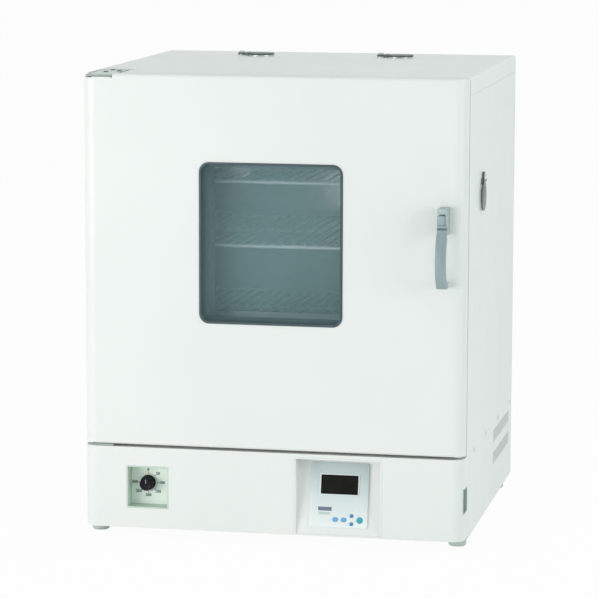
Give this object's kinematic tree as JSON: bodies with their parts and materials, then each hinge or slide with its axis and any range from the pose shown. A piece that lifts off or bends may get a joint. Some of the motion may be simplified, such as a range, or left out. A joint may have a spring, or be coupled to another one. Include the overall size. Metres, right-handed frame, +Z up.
{
  "type": "forced-air drying oven",
  "caption": "Box-shaped laboratory drying oven with a windowed front door, lever handle, wire shelves and a low control base.",
  "frame": {"origin": "middle of the outline at floor level, under the feet", "axes": "+X to the viewer's right across the front, +Y from the door to the back, +Z up"},
  "size_m": [0.6174, 0.6424, 0.7416],
  "materials": {
    "enamel": "off-white powder coat, satin",
    "plated_steel": "zinc-plated or bright wire, satin",
    "stainless": "brushed stainless sheet",
    "dark_metal": "dark grey, matte",
    "hinge_grey": "grey-green, satin",
    "handle_metal": "grey-blue satin coat",
    "lid_metal": "grey anodised",
    "wool": "mineral wool",
    "black_plastic": "moulded, satin",
    "grey_plastic": "moulded, satin",
    "plate_plastic": "pale blue-grey membrane",
    "blue_plastic": "blue keys",
    "display": "dark display window",
    "board": "circuit board",
    "silicone": "pale silicone",
    "brass": "plain bearing brass",
    "glass": "clear, slightly grey"
  },
  "bodies": {
    "cabinet": {"top_cover": "enamel", "left_side_panel": "enamel", "right_side_panel": "enamel", "back_panel": "enamel", "front_frame": "plated_steel", "base_front_panel": "enamel", "bottom_plate": "plated_steel", "deck_plate": "plated_steel", "feet": "grey_plastic", "inner_chamber": "stainless", "insulation": "wool", "left_air_duct": "stainless", "right_air_duct": "stainless", "chamber_floor": "stainless", "shelf_rails": "stainless", "fan_motor": "dark_metal", "heater": "dark_metal", "temperature_probe": "stainless", "dial_tray": "grey_plastic", "thermostat_body": "dark_metal", "controller_housing": "enamel", "controller_plate": "plate_plastic", "display_module": "display", "controller_board": "board", "breaker_body": "black_plastic", "terminal_block": "grey_plastic", "relay_module": "dark_metal", "power_gland": "black_plastic", "exhaust_tubes": "stainless", "side_port_tube": "stainless", "lid_pivot_screws": "plated_steel", "casing_screws": "plated_steel", "hinge_screws": "plated_steel", "upper_hinge_plate": "hinge_grey", "lower_hinge_plate": "hinge_grey", "roller_catch": "plated_steel"},
    "door": {"door_skin": "enamel", "door_liner": "stainless", "door_insulation": "wool", "door_gasket": "silicone", "hinge_bushes": "brass", "window_frame": "dark_metal", "window_panes": "glass", "handle_bracket": "handle_metal"},
    "handle": {"handle_lever": "handle_metal"},
    "fan": {"fan_wheel": "plated_steel", "fan_shaft": "plated_steel"},
    "upper_shelf": {"upper_shelf": "plated_steel"},
    "middle_shelf": {"middle_shelf": "plated_steel"},
    "lower_shelf": {"lower_shelf": "plated_steel"},
    "dial": {"dial_knob": "black_plastic"},
    "start_button": {"start_button": "blue_plastic"},
    "left_button": {"left_button": "blue_plastic"},
    "right_button": {"right_button": "blue_plastic"},
    "up_button": {"up_button": "blue_plastic"},
    "down_button": {"down_button": "blue_plastic"},
    "breaker": {"breaker_rocker": "black_plastic"},
    "left_port_lid": {"left_port_lid": "lid_metal"},
    "right_port_lid": {"right_port_lid": "lid_metal"},
    "side_port_lid": {"side_port_lid": "lid_metal"}
  },
  "joints": [
    {"name": "door_hinge", "type": "hinge", "parent": "cabinet", "child": "door", "pos_m": [-0.2939, -0.26325, 0.441], "axis": [0, 0, -1], "range_deg": [0, 110]},
    {"name": "handle_pull", "type": "hinge", "parent": "door", "child": "handle", "pos_m": [0.2681, -0.29625, 0.514], "axis": [-1, 0, 0], "range_deg": [0, 25]},
    {"name": "fan_spin", "type": "hinge", "parent": "cabinet", "child": "fan", "pos_m": [-0.0029, 0.00225, 0.17], "axis": [0, 0, 1], "continuous": true},
    {"name": "dial_turn", "type": "hinge", "parent": "cabinet", "child": "dial", "pos_m": [-0.2084, -0.25525, 0.083], "axis": [0, 1, 0], "range_deg": [0, 270]},
    {"name": "breaker_rock", "type": "hinge", "parent": "cabinet", "child": "breaker", "pos_m": [0.2871, -0.24875, 0.076], "axis": [0, -1, 0], "range_deg": [0, 18]},
    {"name": "upper_shelf_slide", "type": "slide", "parent": "cabinet", "child": "upper_shelf", "axis": [0, -1, 0], "range_m": [0, 0.014]},
    {"name": "middle_shelf_slide", "type": "slide", "parent": "cabinet", "child": "middle_shelf", "axis": [0, -1, 0], "range_m": [0, 0.014]},
    {"name": "lower_shelf_slide", "type": "slide", "parent": "cabinet", "child": "lower_shelf", "axis": [0, -1, 0], "range_m": [0, 0.014]},
    {"name": "start_button_press", "type": "slide", "parent": "cabinet", "child": "start_button", "axis": [0, 0.9752, -0.2213], "range_m": [0, 0.0008], "stiffness_N_per_m": 300, "springref_m": -0.0006},
    {"name": "left_button_press", "type": "slide", "parent": "cabinet", "child": "left_button", "axis": [0, 0.9752, -0.2213], "range_m": [0, 0.0008], "stiffness_N_per_m": 300, "springref_m": -0.0006},
    {"name": "right_button_press", "type": "slide", "parent": "cabinet", "child": "right_button", "axis": [0, 0.9752, -0.2213], "range_m": [0, 0.0008], "stiffness_N_per_m": 300, "springref_m": -0.0006},
    {"name": "up_button_press", "type": "slide", "parent": "cabinet", "child": "up_button", "axis": [0, 0.9752, -0.2213], "range_m": [0, 0.0008], "stiffness_N_per_m": 300, "springref_m": -0.0006},
    {"name": "down_button_press", "type": "slide", "parent": "cabinet", "child": "down_button", "axis": [0, 0.9752, -0.2213], "range_m": [0, 0.0008], "stiffness_N_per_m": 300, "springref_m": -0.0006},
    {"name": "left_lid_pivot", "type": "hinge", "parent": "cabinet", "child": "left_port_lid", "pos_m": [-0.1549, 0.20475, 0.737], "axis": [0, 0, 1], "range_deg": [0, 120]},
    {"name": "right_lid_pivot", "type": "hinge", "parent": "cabinet", "child": "right_port_lid", "pos_m": [0.0851, 0.20475, 0.737], "axis": [0, 0, 1], "range_deg": [0, 120]},
    {"name": "side_lid_pivot", "type": "hinge", "parent": "cabinet", "child": "side_port_lid", "pos_m": [0.3041, -0.10525, 0.57], "axis": [1, 0, 0], "range_deg": [0, 110]}
  ]
}
